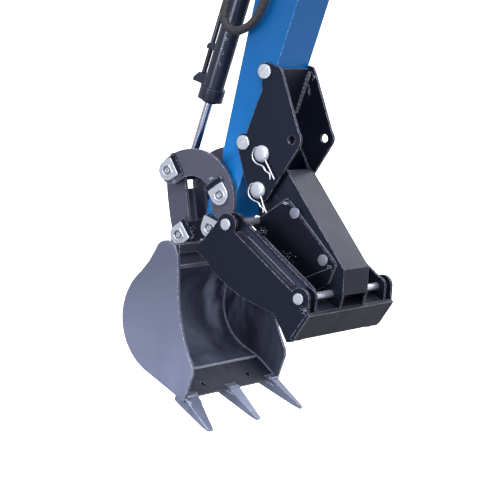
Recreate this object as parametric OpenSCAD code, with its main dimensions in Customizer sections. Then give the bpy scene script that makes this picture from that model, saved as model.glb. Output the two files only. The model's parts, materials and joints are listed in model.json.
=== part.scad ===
// Dipper arm of a small excavator with its bucket, bucket linkage, bucket cylinder and clamp thumb.
// X points forward, away from the machine, Y to the machine's left and Z up.
// The origin is the centre of the boom pivot bore at the top of the arm.
// Side outlines are drawn in the X-Z plane, most of them from the bucket pivot at the arm's tip.

/* [Arm] */
// Forward distance from the boom pivot to the bucket pivot
arm_reach = 320; // [300:5:340]
// Height of the boom pivot above the bucket pivot
arm_drop = 880; // [840:10:960]
// Width of the welded arm box
arm_w = 134; // [126:2:142]
// Plate thickness of the arm box
arm_wall = 6; // [5:1:8]
// Depth of the arm behind the boom pivot
arm_back = 55; // [50:1:65]
// Depth of the arm in front of the boom pivot
arm_front = 106; // [98:1:116]
// Bore of the boom pivot bush
boom_bore_d = 30; // [25:1:35]
// Length of the boom pivot bush
boom_bush_w = 150; // [144:2:160]
// Diameter of the linkage and bucket pins
pin_d = 25; // [22:1:28]
// Step from each side of the arm box in to its narrow nose
nose_step = 8; // [6:1:11]

/* [Cylinder] */
// Outside diameter of the cylinder barrel
barrel_d = 50; // [44:1:54]
// Chromed rod diameter
rod_d = 20; // [18:1:25]
// Distance from the base pin to the barrel's open end
barrel_len = 522; // [490:4:550]
// Outside diameter of the rod eye
rod_eye_d = 52; // [46:1:56]
// Width of both cylinder eyes
cyl_eye_w = 40; // [34:1:44]
// Bore of the crowd cylinder lugs
crowd_bore_d = 25; // [20:1:30]
// Gap between the crowd cylinder lugs
crowd_gap = 44; // [38:1:50]

/* [Linkage] */
// Thickness of each curved rocker plate
rocker_t = 10; // [8:1:12]
// Side plate thickness of the bucket link
link_t = 10; // [8:1:12]
// Radius of the bucket link's rounded ends
link_r = 26; // [22:1:28]

/* [Bucket] */
// Outside width of the bucket
bucket_w = 400; // [384:4:440]
// Thickness of the bucket side plates
side_t = 8; // [6:1:10]
// Thickness of the wrapped bucket shell
shell_t = 8; // [6:1:10]
// How far the side plates stand out past the shell
side_land = 12; // [8:1:15]
// Thickness of the cutting lip
lip_t = 13; // [10:1:16]
// Thickness of the bucket ears
ear_t = 9; // [8:1:9]
// Width of a tooth where it meets the lip
tooth_w = 44; // [38:1:50]
// How far the two outer teeth toe outwards, in degrees
tooth_splay = 16; // [0:1:18]

/* [Thumb] */
// Thickness of the thumb bracket plates
bracket_t = 8; // [6:1:10]
// Step from each side of the arm box in to the thumb channel
channel_step = 12; // [11.5:0.5:15]
// Plate thickness of the thumb channel
channel_t = 8; // [6:1:10]
// Outside width of the clamp jaw
jaw_w = 374; // [350:2:376]
// Width of one box tine of the jaw
tine_w = 38; // [32:1:44]
// Plate thickness of the tines
tine_t = 8; // [6:1:10]
// Diameter of the rods through the jaw
jaw_rod_d = 18; // [16:1:20]
// Diameter of the thumb's pivot and lock pins
thumb_pin_d = 20; // [16:1:22]
// Distance from the thumb's pivot pin to its lock pin
lock_r = 85; // [78:1:90]
// Angle that the thumb folds up through to its stowed hole, in degrees
stow_angle = 120; // [112:1:122]

/* [Hidden] */

$fn = 48;
arm_blue = [0.05, 0.36, 0.66];
paint_black = [0.09, 0.09, 0.10];
bucket_steel = [0.27, 0.28, 0.34];
zinc = [0.80, 0.80, 0.78];
chrome = [0.85, 0.86, 0.88];
hose_black = [0.05, 0.05, 0.05];

// Running gaps and seats
pin_gap = 0.05;
seat_gap = 0.3;
move_gap = 1;
swing_gap = 1.2;
// Straight edges start this far inside the round they leave
cut_in = 0.1;

// Places of the pins, each as [forward, up] from the bucket pivot
tip = [arm_reach, -arm_drop];
rocker_at = [-40, 79];
rod_at = [109, 133];
link_at = [89, -20];
thumb_at = [-152, 178];
lock_dir = 172.7;
jaw_up_at = [-127.5, 21];
jaw_low_at = [-323.5, -138];
bolt_up_at = [-233, 43];
bolt_low_at = [-309, -61];
// Place of the cylinder's base pin, from the boom pivot
base_at = [190, -90];
crowd_at = [-26, 188];

// Lateral stack, as distances from the middle plane
arm_side = arm_w / 2;
nose_w = arm_w - 2 * nose_step;
link_w = nose_w - move_gap;
channel_w = arm_w - 2 * channel_step;
ear_in = nose_w / 2 + move_gap;
ear_out = ear_in + ear_t;
retainer_t = 6;
rocker_in = ear_out + retainer_t + move_gap;
rocker_out = rocker_in + rocker_t;
bracket_out = arm_side + bracket_t;
side_in = bucket_w / 2 - side_t;

// Plane geometry in X-Z
function polar(a, r) = [r * sin(a), r * cos(a)];
function unit(v) = v / norm(v);
function left_of(v) = [-v[1], v[0]];
function arc(c, r, a0, a1, n) = [for (i = [0:n]) c + r * [cos(a0 + (a1 - a0) * i / n), sin(a0 + (a1 - a0) * i / n)]];
function tangent_pts(c1, r1, c2, r2, side) =
    let (d = norm(c2 - c1), u = unit(c2 - c1), s = (r1 - r2) / d, n = side * sqrt(1 - s * s))
    [c1 + r1 * (s * u + n * left_of(u)), c2 + r2 * (s * u + n * left_of(u))];
function on_line(p, q, z) = p[0] + (q[0] - p[0]) * (z - p[1]) / (q[1] - p[1]);

lock_at = thumb_at + polar(lock_dir, lock_r);
stow_at = thumb_at + polar(lock_dir + stow_angle, lock_r);

// Faces of the arm, as X at a height measured from the bucket pivot
nose_top = 24;
back_top = [-arm_reach - arm_back, arm_drop];
back_low = [-52, nose_top];
front_top = [-arm_reach + arm_front, arm_drop];
front_low = [-38, 190];
function back_x(z) = on_line(back_low, back_top, z);
function front_x(z) = on_line(front_low, front_top, z);
// The bracket's two pins run this far in front of the arm's back face
bracket_up_at = [back_x(367) + 21.4, 367];
bracket_low_at = [back_x(203) + 18.5, 203];

// Extrudes an outline drawn in X-Z from one side of the middle plane to the other
module plate(y0, y1) {
    translate([0, y1, 0]) rotate([90, 0, 0]) linear_extrude(y1 - y0) children();
}
module at_tip() { translate([tip[0], 0, tip[1]]) children(); }
module disc(p, r) { translate(p) circle(r = r, $fn = 64); }
module round_bar(p, r, y0, y1) {
    translate([p[0], y1, p[1]]) rotate([90, 0, 0]) cylinder(r = r, h = y1 - y0, $fn = 64);
}
// A flat link round two centres, with straight tangent edges
module belt(c1, r1, c2, r2) {
    a = tangent_pts(c1, r1 - cut_in, c2, r2 - cut_in, 1);
    b = tangent_pts(c1, r1 - cut_in, c2, r2 - cut_in, -1);
    polygon([a[0], a[1], b[1], b[0]]);
    disc(c1, r1);
    disc(c2, r2);
}
module both_sides() {
    children();
    mirror([0, 1, 0]) children();
}

// Arm
arm_top_r = 60;
module arm_outline(grow) {
    offset_x = grow;
    polygon([
        [back_top[0] + offset_x, back_top[1]],
        [front_top[0] - offset_x, front_top[1]],
        [front_low[0] - offset_x, front_low[1]],
        [-32 - offset_x, 150],
        [3.5 - offset_x, 46 + offset_x / 2],
        [-12 - offset_x / 2, nose_top + 5.5 + offset_x],
        [-28, nose_top + offset_x],
        [back_low[0] + offset_x, back_low[1] + offset_x],
    ]);
}
module arm_head(grow) {
    // The arm's upper end, from the pivot up to the crowd cylinder lugs
    o = -tip;
    polygon([
        [back_top[0] + grow, back_top[1]],
        [o[0] + crowd_at[0] - 34 + grow, o[1] + crowd_at[1] - 40],
        [o[0] + crowd_at[0] - 6, o[1] + crowd_at[1] - 34 - grow],
        [o[0] + crowd_at[0] + 34 - grow, o[1] + crowd_at[1] - 50],
        [front_top[0] - 44 - grow, front_top[1] + 78],
        [front_top[0] - 10 - grow, front_top[1] + 28],
        [front_top[0] - grow, front_top[1]],
    ]);
}
nose_r = 26;
tube_wall = 6;
module arm_box() {
    color(arm_blue) at_tip() difference() {
        union() {
            plate(-arm_side, arm_side) arm_outline(0);
            plate(-arm_side, arm_side) arm_head(0);
            plate(-nose_w / 2, nose_w / 2) {
                belt([0, 0], nose_r, [-20, nose_top + 26], 34);
            }
            both_sides() round_bar(rocker_at, 22, arm_side - cut_in, rocker_in - seat_gap);
        }
        difference() {
            union() {
                plate(-arm_side + arm_wall, arm_side - arm_wall) arm_outline(arm_wall);
                plate(-arm_side + arm_wall, arm_side - arm_wall) arm_head(arm_wall);
            }
            round_bar(rocker_at, pin_d / 2 + tube_wall, -arm_side, arm_side);
            round_bar(bracket_up_at, thumb_pin_d / 2 + tube_wall, -arm_side, arm_side);
            round_bar(bracket_low_at, thumb_pin_d / 2 + tube_wall, -arm_side, arm_side);
            round_bar(-tip, boom_bore_d / 2 + 14 + tube_wall, -arm_side, arm_side);
            plate(-nose_w / 2, nose_w / 2) belt([0, 0], nose_r, [-20, nose_top + 26], 34);
        }
        round_bar([0, 0], pin_d / 2 + pin_gap, -arm_w, arm_w);
        round_bar(rocker_at, pin_d / 2 + pin_gap, -arm_w, arm_w);
        round_bar(bracket_up_at, thumb_pin_d / 2 + pin_gap, -arm_w, arm_w);
        round_bar(bracket_low_at, thumb_pin_d / 2 + pin_gap, -arm_w, arm_w);
        round_bar(-tip, boom_bore_d / 2 + 14, -arm_w, arm_w);
    }
}
module boom_bush() {
    color(arm_blue) difference() {
        union() {
            round_bar([0, 0], boom_bore_d / 2 + 14, -boom_bush_w / 2, boom_bush_w / 2);
        }
        round_bar([0, 0], boom_bore_d / 2, -boom_bush_w, boom_bush_w);
    }
}
lug_t = 12;
module crowd_lugs() {
    top_z = crowd_at[1] - 34;
    color(arm_blue) both_sides() difference() {
        plate(crowd_gap / 2, crowd_gap / 2 + lug_t) {
            disc(crowd_at, 26);
            polygon([crowd_at + [-25.8, -3], crowd_at + [25.8, -3], crowd_at + [34, -50],
                crowd_at + [-6, -34], crowd_at + [-34, -40]]);
        }
        round_bar(crowd_at, crowd_bore_d / 2, 0, arm_w);
    }
}

// Cylinder axis runs from the base pin to the rod pin
rod_pin_at = tip + rod_at;
cyl_len = norm(rod_pin_at - base_at);
cyl_tilt = atan2(rod_pin_at[0] - base_at[0], base_at[1] - rod_pin_at[1]);
// Puts a shape drawn along -Z from the base pin onto the cylinder's axis
module on_cylinder() { translate([base_at[0], 0, base_at[1]]) rotate([0, -cyl_tilt, 0]) children(); }

cyl_lug_t = 12;
module cylinder_lugs() {
    foot_up = [front_x(arm_drop - 30) + tip[0], -30];
    foot_low = [front_x(arm_drop - 170) + tip[0], -170];
    color(arm_blue) both_sides() difference() {
        plate(cyl_eye_w / 2 + move_gap, cyl_eye_w / 2 + move_gap + cyl_lug_t) {
            disc(base_at, 27);
            polygon([tangent_pts(base_at, 27, foot_up, 0.01, -1)[0], foot_up, foot_low,
                tangent_pts(base_at, 27, foot_low, 0.01, 1)[0]]);
        }
        round_bar(base_at, pin_d / 2, 0, arm_w);
    }
}
module cylinder_pin() {
    half = cyl_eye_w / 2 + move_gap + cyl_lug_t;
    color(zinc) {
        round_bar(base_at, pin_d / 2, -half, half);
        both_sides() round_bar(base_at, pin_d / 2 + 4, half, half + 5);
    }
}
barrel_wall = 4;
barrel_top = 44;
module barrel() {
    color(paint_black) on_cylinder() difference() {
        translate([0, 0, -barrel_len + gland_h])
            cylinder(d = barrel_d, h = barrel_len - gland_h - barrel_top, $fn = 64);
        translate([0, 0, -barrel_len])
            cylinder(d = barrel_d - 2 * barrel_wall, h = barrel_len - barrel_top - 22, $fn = 64);
    }
}
gland_h = 31;
module gland() {
    color(paint_black) on_cylinder() translate([0, 0, -barrel_len]) difference() {
        union() {
            cylinder(d = barrel_d + 11, h = gland_h, $fn = 64);
            translate([0, 0, -6]) cylinder(d = rod_d + 14, h = 8, $fn = 64);
        }
        translate([0, 0, -10]) cylinder(d = rod_d + 2 * pin_gap, h = gland_h + 20, $fn = 64);
    }
}
module base_eye() {
    color(paint_black) difference() {
        union() {
            round_bar(base_at, 26, -cyl_eye_w / 2, cyl_eye_w / 2);
            on_cylinder() translate([0, 0, -barrel_top]) cylinder(d = cyl_eye_w - 2, h = barrel_top - 8, $fn = 64);
        }
        round_bar(base_at, pin_d / 2 + pin_gap, -arm_w, arm_w);
    }
}
// The block faces forward, away from the arm
port_h = 24;
pipe_d = 12;
pipe_off = barrel_d / 2 + 13;
pipe_top = -86;
// A block on the barrel, drawn from its lower end with its outer corner cut off
module saddle_block(z, half, out, h, cut) {
    difference() {
        translate([0, 0, z]) plate(-half, half)
            polygon([[0, 0], [out, 0], [out, h - cut - 4], [out - cut, h], [0, h]]);
        translate([0, 0, z - 1]) cylinder(d = barrel_d, h = h + 2, $fn = 64);
    }
}
module port_block() {
    color(paint_black) on_cylinder() saddle_block(-barrel_len + gland_h, 13, pipe_off + 17, port_h, 11);
}
module steel_pipe() {
    z_low = -barrel_len + gland_h + port_h;
    color(paint_black) on_cylinder() {
        translate([pipe_off, 0, z_low]) cylinder(d = pipe_d, h = pipe_top - z_low + 1, $fn = 32);
        saddle_block(pipe_top, 11, pipe_off + 9, 26, 8);
        for (z = [z_low + 60, -170]) saddle_block(z, 9, pipe_off + 8, 14, 3);
    }
}
module rod() {
    color(chrome) on_cylinder() translate([0, 0, -cyl_len + rod_eye_d / 2 - 3])
        cylinder(d = rod_d, h = cyl_len - rod_eye_d / 2 + 3 - 190, $fn = 64);
}
module rod_eye() {
    color(paint_black) difference() {
        union() {
            round_bar(rod_pin_at, rod_eye_d / 2, -cyl_eye_w / 2, cyl_eye_w / 2);
            on_cylinder() translate([0, 0, -cyl_len + rod_eye_d / 2 - 6]) cylinder(d = rod_d + 12, h = 16, $fn = 64);
        }
        on_cylinder() translate([0, 0, -cyl_len + rod_eye_d / 2 - 3]) cylinder(d = rod_d, h = 200, $fn = 64);
    }
}

// Curved rocker plates, a ring sector round a centre below the plate
rocker_mid = [41, 65];
rocker_out_r = 121;
rocker_in_r = 57;
rocker_end_r = (rocker_out_r - rocker_in_r) / 2;
rocker_mean_r = (rocker_out_r + rocker_in_r) / 2;
rocker_a0 = 49;
rocker_a1 = 188;
module rocker_outline() {
    difference() {
        disc(rocker_mid, rocker_out_r);
        disc(rocker_mid, rocker_in_r);
        polygon(concat([rocker_mid], arc(rocker_mid, 2 * rocker_out_r, rocker_a1 - 360, rocker_a0, 8)));
    }
    for (a = [rocker_a0, rocker_a1])
        disc(rocker_mid + rocker_mean_r * [cos(a), sin(a)], rocker_end_r);
}
module rocker_plate() {
    difference() {
        union() {
            plate(rocker_in, rocker_out) rocker_outline();
            round_bar(rod_at, 22, link_w / 2 + seat_gap, rocker_in);
        }
        round_bar(rod_at, pin_d / 2, 0, arm_w);
        round_bar(rocker_at, pin_d / 2, 0, arm_w);
    }
}
module rocker_plate_left() { color(paint_black) at_tip() rocker_plate(); }
module rocker_plate_right() { color(paint_black) at_tip() mirror([0, 1, 0]) rocker_plate(); }
module rocker_pin() {
    color(zinc) at_tip() round_bar(rocker_at, pin_d / 2, -rocker_out, rocker_out);
}
module rod_pin() {
    color(zinc) at_tip() both_sides() round_bar(rod_at, pin_d / 2, cyl_eye_w / 2 + 0.5, rocker_out);
}
// A retainer plate, round on one side and straight on the other, held from turning by a keeper bar
retainer_r = 24;
retainer_flat = 24;
keeper_w = 13;
keeper_len = 52;
module retainer(p, a, y, wide = keeper_w, long = keeper_len) {
    color(zinc) difference() {
        plate(y, y + retainer_t) {
            disc(p, retainer_r);
            translate(p) rotate(a) polygon([[0, -retainer_r + cut_in], [retainer_flat - 4, -retainer_r + cut_in],
                [retainer_flat, -retainer_r + 4], [retainer_flat, retainer_r - 4],
                [retainer_flat - 4, retainer_r - cut_in], [0, retainer_r - cut_in]]);
        }
        translate([p[0], y + retainer_t + 1, p[1]]) rotate([90, 0, 0]) cylinder(r = 8.5, h = 5, $fn = 64);
    }
    // The bolt's head sits in the recess
    color(zinc) translate([p[0], y + retainer_t - 1, p[1]]) rotate([90, 0, 0]) cylinder(r = 6.5, h = 3.5, $fn = 6);
    color(paint_black) plate(y, y + retainer_t - 1) translate(p) rotate(a)
        translate([retainer_flat + seat_gap, -long / 2]) square([wide, long]);
}
module rocker_retainers() {
    at_tip() both_sides() {
        retainer(rod_at, 151, rocker_out);
        retainer(rocker_at, 58, rocker_out);
    }
}

// Bucket link
link_bow = 4;
module link_pair_outline() {
    run = link_at - rod_at;
    n = left_of(unit(run));
    belt(rod_at, link_r, link_at, link_r);
    // The forward edge bows out
    polygon(concat([link_at, rod_at], [for (i = [0:12])
        rod_at + i / 12 * run + (link_r - cut_in + link_bow * 4 * i / 12 * (1 - i / 12)) * n]));
}
module bucket_link() {
    half = link_w / 2;
    u = unit(link_at - rod_at);
    n = left_of(u);
    web_t = 8;
    // The web stands on the forward edge, below the rod eye
    web_from = rod_at + 46 * u + (link_r - web_t) * n;
    web_to = link_at - 6 * u + (link_r - web_t) * n;
    color(paint_black) at_tip() difference() {
        union() {
            both_sides() plate(half - link_t, half) link_pair_outline();
            both_sides() round_bar(rod_at, 21, cyl_eye_w / 2 + 1, half - link_t);
            both_sides() round_bar(link_at, 21, 20, half - link_t);
            plate(-half + link_t, half - link_t)
                polygon([web_from, web_to, web_to + web_t * n, web_from + web_t * n]);
            both_sides() plate(cyl_eye_w / 2 + 1, cyl_eye_w / 2 + 7)
                polygon([web_from, web_to, web_to - (2 * link_r - web_t - 2) * n,
                    web_from + 4 * u - (2 * link_r - web_t - 2) * n]);
        }
        round_bar(rod_at, pin_d / 2 + pin_gap, -arm_w, arm_w);
    }
}

// Bucket side outline, from the bucket pivot
wrap_at = [19, -210];
wrap_r = 142;
hump_at = [33, -53];
hump_r = 31;
floor_a = 30.4;
front_x0 = -1;
front_z0 = -136;
front_r = 417;
lip_tip = [-18, -388];
function floor_pt(x, inset) =
    let (t = wrap_at + (wrap_r - inset - cut_in) * [sin(floor_a), -cos(floor_a)])
    [x, t[1] + (x - t[0]) * tan(floor_a)];
module wrap_outline(inset, x_front) {
    r = wrap_r - inset;
    t = wrap_at + (r - cut_in) * [sin(floor_a), -cos(floor_a)];
    disc(wrap_at, r);
    polygon([wrap_at, t, floor_pt(x_front, inset), [x_front, wrap_at[1]]]);
}
module side_outline() {
    difference() {
        union() {
            wrap_outline(0, lip_tip[0]);
            polygon([wrap_at + (wrap_r - cut_in) * [cos(52), sin(52)], hump_at + [49, -19],
                hump_at + (hump_r - cut_in) * [cos(20), sin(20)], hump_at,
                [front_x0, hump_at[1]], [front_x0, wrap_at[1]], wrap_at]);
            disc(hump_at, hump_r);
            polygon([lip_tip, [-41, -330], [-41, -316], [0, -250], [30, -300]]);
        }
        difference() {
            disc([front_x0 - front_r, front_z0], front_r);
            translate([-300, -500]) square([600, 186]);
        }
        translate([front_x0 - 100, front_z0]) square([100, 200]);
        polygon([lip_tip, [-41, -330], [-41, -314], [-200, -314], [-200, -500], lip_tip + [0, -60]]);
    }
}
module bucket_side() { plate(side_in, side_in + side_t) side_outline(); }
module bucket_side_left() { color(bucket_steel) at_tip() bucket_side(); }
module bucket_side_right() { color(bucket_steel) at_tip() mirror([0, 1, 0]) bucket_side(); }

lip_angle = 41;
lip_len = 76;
lip_dir = [cos(lip_angle), sin(lip_angle)];
lip_nrm = [sin(lip_angle), -cos(lip_angle)];
module lip_outline() {
    top = lip_tip + 2 * left_of(lip_dir);
    polygon([top, top + lip_len * lip_dir, top + lip_len * lip_dir + lip_t * lip_nrm,
        top + 16 * lip_dir + lip_t * lip_nrm, top + 4 * lip_nrm]);
}
module bucket_shell() {
    inset = side_land;
    color(bucket_steel) at_tip() plate(-side_in, side_in) difference() {
        union() {
            disc(wrap_at, wrap_r - inset);
            polygon([wrap_at, wrap_at + (wrap_r - inset - cut_in) * [sin(floor_a), -cos(floor_a)],
                floor_pt(0, inset), [0, wrap_at[1]]]);
        }
        disc(wrap_at, wrap_r - inset - shell_t);
        polygon([wrap_at, wrap_at + (wrap_r - inset - shell_t - cut_in) * [sin(floor_a), -cos(floor_a)],
            floor_pt(-10, inset + shell_t), [-10, wrap_at[1]]]);
        translate([-400, -400]) square([400 + 8, 400]);
        lip_outline();
        polygon([lip_tip, lip_tip + lip_len * lip_dir, lip_tip + [0, 60]]);
    }
}
bar_top = -31;
bar_low = -52;
bar_depth = 28;
module bucket_top_bar() {
    bar_x = front_x0 + 1;
    color(bucket_steel) at_tip() plate(-side_in, side_in) {
        translate([bar_x, bar_low]) square([bar_depth, bar_top - bar_low]);
        // The wall below stands back and ends on the shell
        difference() {
            translate([bar_x + 8, wrap_at[1]]) square([8, bar_low - wrap_at[1]]);
            disc(wrap_at, wrap_r - side_land);
        }
    }
}
module bucket_lip() {
    color(bucket_steel) at_tip() difference() {
        plate(-side_in, side_in) lip_outline();
        for (s = [-1, 1]) translate([0, s * 95, 0])
            translate([lip_tip[0], 0, lip_tip[1]]) rotate([0, -lip_angle, 0])
                translate([30, 0, -60]) cylinder(d = 14, h = 120, $fn = 32);
    }
}
tooth_len = 108;
tooth_drop = 35.5;
tooth_root = [-6, -390];
module tooth_solid() {
    // Drawn with its length along -X from the root, then turned down
    intersection() {
        rotate([90, 0, 0]) translate([0, 0, -tooth_w]) linear_extrude(2 * tooth_w)
            polygon([[22, 15], [0, 15], [-tooth_len, -1], [-tooth_len, -6], [-tooth_len + 18, -9], [14, -15]]);
        translate([0, 0, -50]) linear_extrude(100)
            polygon([[22, tooth_w / 2], [0, tooth_w / 2], [-tooth_len, 8], [-tooth_len, -8],
                [0, -tooth_w / 2], [22, -tooth_w / 2]]);
    }
}
module tooth(y, splay) {
    color(bucket_steel) at_tip() difference() {
        translate([tooth_root[0], y, tooth_root[1]]) rotate([0, -tooth_drop, splay]) tooth_solid();
        plate(-bucket_w, bucket_w) lip_outline();
        plate(-bucket_w, bucket_w) difference() {
            wrap_outline(side_land, lip_tip[0]);
            wrap_outline(side_land + shell_t + 40, lip_tip[0]);
        }
        both_sides() plate(side_in, side_in + side_t) side_outline();
    }
}
tooth_at = bucket_w / 2 - 28;
module tooth_left() { tooth(tooth_at, -tooth_splay); }
module tooth_middle() { tooth(0, 0); }
module tooth_right() { tooth(-tooth_at, tooth_splay); }

ear_r = 26;
module ear_outline() {
    difference() {
        union() {
            belt([0, 0], ear_r, link_at, ear_r);
            polygon([[bar_depth / 2, 0], [bar_depth / 2, bar_top], [bar_depth, bar_top], [bar_depth, bar_low - 60],
                [112, bar_low - 80], link_at + [ear_r - 1, 0]]);
        }
        disc(wrap_at, wrap_r - side_land);
        translate([-bar_depth, bar_low - 20]) square([2 * bar_depth, bar_top - bar_low + 20]);
    }
}
module bucket_ear() {
    difference() {
        plate(ear_in, ear_out) ear_outline();
        round_bar([0, 0], pin_d / 2, 0, arm_w);
        round_bar(link_at, pin_d / 2, 0, arm_w);
    }
}
module bucket_ear_left() { color(bucket_steel) at_tip() bucket_ear(); }
module bucket_ear_right() { color(bucket_steel) at_tip() mirror([0, 1, 0]) bucket_ear(); }
module bucket_pin() { color(zinc) at_tip() round_bar([0, 0], pin_d / 2, -ear_out, ear_out); }
module link_pin() {
    color(zinc) at_tip() both_sides() round_bar(link_at, pin_d / 2, link_w / 2 + seat_gap, ear_out);
}
module bucket_retainers() {
    at_tip() both_sides() {
        retainer(link_at, 147, ear_out);
        retainer([0, 0], 111, ear_out, 6, 34);
    }
}

// Thumb bracket, two plates on the arm's sides and one across its back
bracket_ear_r = 21;
lock_end_r = 30;
stow_end_r = 25;
module bracket_outline() {
    front = tangent_pts(bracket_low_at, bracket_ear_r - cut_in, lock_at, lock_end_r - cut_in, 1);
    back = tangent_pts(lock_at, lock_end_r - cut_in, stow_at, stow_end_r - cut_in, 1);
    polygon([bracket_up_at + [-38, 10], bracket_up_at + [-20, 15], bracket_up_at + [0, 15], bracket_up_at + [10, -14],
        bracket_up_at + [10, -43], bracket_low_at + [-5, 21], bracket_low_at, front[0], front[1], lock_at, back[0],
        back[1], stow_at + [-23, 4], bracket_up_at + [-44, -1]]);
    disc(bracket_up_at, bracket_ear_r);
    disc(bracket_low_at, bracket_ear_r);
    disc(lock_at, lock_end_r);
    disc(stow_at, stow_end_r);
}
module bracket_plate() {
    difference() {
        plate(arm_side, bracket_out) bracket_outline();
        for (p = [bracket_up_at, bracket_low_at, thumb_at, lock_at, stow_at])
            round_bar(p, thumb_pin_d / 2 + pin_gap, 0, arm_w);
    }
}
module bracket_plate_left() { color(paint_black) at_tip() bracket_plate(); }
module bracket_plate_right() { color(paint_black) at_tip() mirror([0, 1, 0]) bracket_plate(); }
module bracket_cross_plate() {
    z1 = 373;
    z0 = 262;
    color(paint_black) at_tip() plate(-arm_side, arm_side)
        polygon([[back_x(z1), z1], [back_x(z1) - bracket_t, z1], [back_x(z0) - bracket_t, z0], [back_x(z0), z0]]);
}
head_r = 17;
head_t = 7;
end_r = 20;
end_t = 10;
module bracket_pins() {
    color(zinc) at_tip() for (p = [bracket_up_at, bracket_low_at]) {
        round_bar(p, thumb_pin_d / 2, -bracket_out, bracket_out);
        both_sides() round_bar(p, head_r, bracket_out, bracket_out + head_t);
    }
}
module thumb_pivot_pin() {
    color(zinc) at_tip() {
        round_bar(thumb_at, thumb_pin_d / 2, -bracket_out, bracket_out);
        both_sides() round_bar(thumb_at, end_r, bracket_out, bracket_out + end_t);
    }
}

// Thumb
hub_r = 27;
hub_in = channel_w / 2;
web_up = [-205, 140];
web_bend = [-360, -82];
web_foot = [-357, -141];
tip_up = [-351.5, -176];
tip_low = [-307.5, -234];
grip_drop = 18;
grip_t = 8;
jaw_dir = unit(jaw_low_at - jaw_up_at);
jaw_nrm = [jaw_dir[1], -jaw_dir[0]];
// A point by its distance along the jaw from the upper rod and below the rods' line
function jaw_pt(s, d) = jaw_up_at + s * jaw_dir - d * jaw_nrm;
jaw_len = norm(jaw_low_at - jaw_up_at);
module flange_outline() {
    belt(thumb_at, hub_r, lock_at, hub_r);
    polygon([thumb_at + [-20, 18], web_up, web_bend, web_foot, tip_up + [4, 4], jaw_pt(jaw_len + 2, grip_drop),
        jaw_pt(30, grip_drop), lock_at + [20, -16], lock_at, thumb_at]);
}
module channel_web_outline() {
    n = left_of(unit(web_bend - web_up)) * channel_t;
    polygon([web_up, web_bend, web_foot, web_foot + [channel_t, 0], web_bend + [channel_t, -2], web_up + n]);
}
module thumb_channel() {
    color(paint_black) at_tip() difference() {
        union() {
            both_sides() plate(hub_in - channel_t, hub_in) flange_outline();
            plate(-hub_in + channel_t, hub_in - channel_t) channel_web_outline();
            both_sides() for (p = [thumb_at, lock_at]) round_bar(p, 18, hub_in, arm_side - move_gap / 2);
        }
        round_bar(thumb_at, thumb_pin_d / 2 + pin_gap, -arm_w, arm_w);
        round_bar(lock_at, thumb_pin_d / 2 + pin_gap, -arm_w, arm_w);
        for (p = [jaw_up_at, jaw_low_at]) round_bar(p, jaw_rod_d / 2 + pin_gap, -arm_w, arm_w);
        for (p = [bolt_up_at, bolt_low_at]) round_bar(p, 8, -arm_w, arm_w);
    }
}
gusset_t = 6;
bolt_head_t = 5;
module gusset_outline() {
    polygon([jaw_pt(-8, grip_drop), [-200, 68], [-212, 70], [-341, -72], jaw_pt(jaw_len - 16, -13),
        jaw_pt(jaw_len - 29, grip_drop)]);
}
module thumb_gussets() {
    color(paint_black) at_tip() both_sides() difference() {
        plate(hub_in, hub_in + gusset_t) gusset_outline();
        for (p = [bolt_up_at, bolt_low_at]) round_bar(p, 8, 0, arm_w);
        for (p = [jaw_up_at, jaw_low_at]) round_bar(p, jaw_rod_d / 2 + pin_gap, 0, arm_w);
    }
}
module channel_bolts() {
    color(zinc) at_tip() for (p = [bolt_up_at, bolt_low_at]) {
        round_bar(p, 8, -hub_in - gusset_t, hub_in + gusset_t);
        both_sides() round_bar(p, 13, hub_in + gusset_t, hub_in + gusset_t + bolt_head_t);
    }
}
module grip_plate() {
    half = jaw_w / 2 - tine_w;
    color(paint_black) at_tip() plate(-half, half)
        polygon([jaw_pt(26, grip_drop), jaw_pt(jaw_len + 2, grip_drop), jaw_pt(jaw_len + 2, grip_drop + grip_t),
            jaw_pt(26, grip_drop + grip_t)]);
}
tine_ear_r = 25;
module tine_outline(top) {
    disc(jaw_up_at, tine_ear_r);
    disc(jaw_low_at, tine_ear_r);
    polygon([jaw_up_at + tine_ear_r * [0.97, 0.25], [-65.5, -14], [-44.5, -36], [-44.5, -44], [-76.5, -70],
        [-92.5, -92], [-126.5, -118], [-164.5, -142], [-224.5, -165], [-254.5, -175], [-273.5, -207],
        [-289.5, -238], [-305.5, -236], tip_up + [6, 0],
        jaw_low_at + tine_ear_r * [-0.97, -0.25], jaw_low_at, jaw_pt(jaw_len, -top),
        jaw_pt(0, -top), jaw_up_at]);
}
module tine() {
    outer = jaw_w / 2;
    inner = outer - tine_w;
    difference() {
        union() {
            plate(outer - tine_t, outer) tine_outline(0);
            plate(inner, inner + tine_t) tine_outline(tine_ear_r - 2);
            plate(inner + tine_t, outer - tine_t)
                polygon([jaw_pt(28, 0), jaw_pt(jaw_len - 28, 0), jaw_pt(jaw_len - 28, tine_t), jaw_pt(28, tine_t)]);
        }
        for (p = [jaw_up_at, jaw_low_at]) round_bar(p, jaw_rod_d / 2, 0, jaw_w);
        plate(0, jaw_w) tip_outline();
    }
}
module tine_left() { color(paint_black) at_tip() tine(); }
module tine_right() { color(paint_black) at_tip() mirror([0, 1, 0]) tine(); }
tip_t = 10;
module tip_outline() {
    n = left_of(unit(tip_low - tip_up)) * tip_t;
    polygon([tip_up, tip_low, tip_low + n, tip_up + n]);
}
module tip_plate() {
    color(paint_black) at_tip() plate(-jaw_w / 2, jaw_w / 2) tip_outline();
}
module jaw_rods() {
    half = jaw_w / 2;
    color(zinc) at_tip() for (p = [jaw_up_at, jaw_low_at]) {
        round_bar(p, jaw_rod_d / 2, -half, half);
        both_sides() round_bar(p, 13, half, half + 6);
    }
}
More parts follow.
